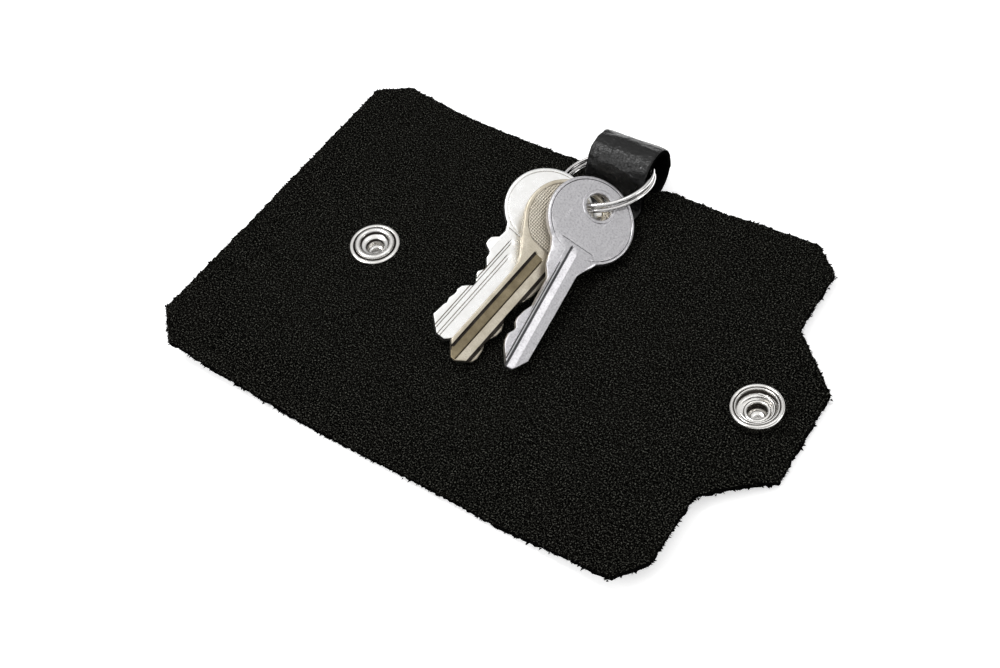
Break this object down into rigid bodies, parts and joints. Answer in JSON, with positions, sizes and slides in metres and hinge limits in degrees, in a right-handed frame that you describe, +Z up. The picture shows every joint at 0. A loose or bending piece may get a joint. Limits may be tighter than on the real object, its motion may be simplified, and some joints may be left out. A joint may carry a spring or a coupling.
{
  "type": "key case",
  "caption": "Open leather key case with a press-stud tab, folding sides, a leather loop at one edge, and a split ring carrying cylinder-lock keys.",
  "frame": {"origin": "middle of the middle panel's underside, which lies on the table", "axes": "+X along the open case, from the stud side towards the tab; +Y across it, towards the loop; +Z up, away from the table"},
  "size_m": [0.1491, 0.1063, 0.0177],
  "materials": {
    "suede": "black suede, matt, flesh side up",
    "loop_leather": "black smooth grain leather, satin",
    "plated_metal": "polished nickel plate",
    "ring_steel": "polished nickel-plated steel wire",
    "bright_nickel": "bright nickel plate",
    "nickel_silver": "worn nickel silver, warm",
    "grey_nickel": "satin nickel, grey"
  },
  "bodies": {
    "middle": {"middle_panel": "suede", "key_loop": "loop_leather", "loop_rivet_post": "plated_metal", "loop_rivet_cap": "plated_metal"},
    "left_spine": {"left_spine": "suede"},
    "left_panel": {"left_panel": "suede", "snap_eyelet": "plated_metal", "snap_stud": "plated_metal"},
    "left_edge": {"left_edge": "suede"},
    "right_spine": {"right_spine": "suede"},
    "right_panel": {"right_panel": "suede", "snap_cap": "plated_metal", "snap_socket": "plated_metal", "snap_spring": "plated_metal"},
    "ring": {"split_ring": "ring_steel"},
    "key_front": {"key_front": "grey_nickel"},
    "key_middle": {"key_middle": "nickel_silver"},
    "key_rear": {"key_rear": "bright_nickel"}
  },
  "joints": [
    {"name": "left_fold", "type": "hinge", "parent": "middle", "child": "left_spine", "pos_m": [-0.0171, 0, 0.0015], "axis": [0, 1, 0], "range_deg": [0, 84]},
    {"name": "left_fold_outer", "type": "hinge", "parent": "left_spine", "child": "left_panel", "pos_m": [-0.03341, 0, 0.00321], "axis": [0, 1, 0], "range_deg": [0, 91]},
    {"name": "left_edge_curl", "type": "hinge", "parent": "left_panel", "child": "left_edge", "pos_m": [-0.06569, 0, 0.00604], "axis": [0, 1, 0], "range_deg": [0, 77]},
    {"name": "right_fold", "type": "hinge", "parent": "middle", "child": "right_spine", "pos_m": [0.0171, 0, 0.0015], "axis": [0, -1, 0], "range_deg": [0, 87.5]},
    {"name": "right_fold_outer", "type": "hinge", "parent": "right_spine", "child": "right_panel", "pos_m": [0.03838, 0, 0.00243], "axis": [0, -1, 0], "range_deg": [0, 89]},
    {"name": "ring_swing", "type": "hinge", "parent": "middle", "child": "ring", "pos_m": [0.002, 0.0493, 0.00726], "axis": [-1, 0, 0], "range_deg": [0, 160]},
    {"name": "key_front_swing", "type": "hinge", "parent": "ring", "child": "key_front", "pos_m": [0.00606, 0.0312, 0.0108], "axis": [-0.5807, 0.0596, -0.8119], "range_deg": [0, 40]},
    {"name": "key_middle_swing", "type": "hinge", "parent": "ring", "child": "key_middle", "pos_m": [0.0022, 0.0284, 0.00981], "axis": [-0.5592, 0.1425, -0.8167], "range_deg": [0, 40]},
    {"name": "key_rear_swing", "type": "hinge", "parent": "ring", "child": "key_rear", "pos_m": [-0.00509, 0.0309, 0.00855], "axis": [-0.4384, 0.1095, -0.8921], "range_deg": [0, 40]}
  ],
  "couplings": [
    {"joint": "left_fold_outer", "follows": "left_fold", "ratio": 1.0833},
    {"joint": "left_edge_curl", "follows": "left_fold", "ratio": 0.91667},
    {"joint": "right_fold_outer", "follows": "right_fold", "ratio": 1.0171}
  ]
}
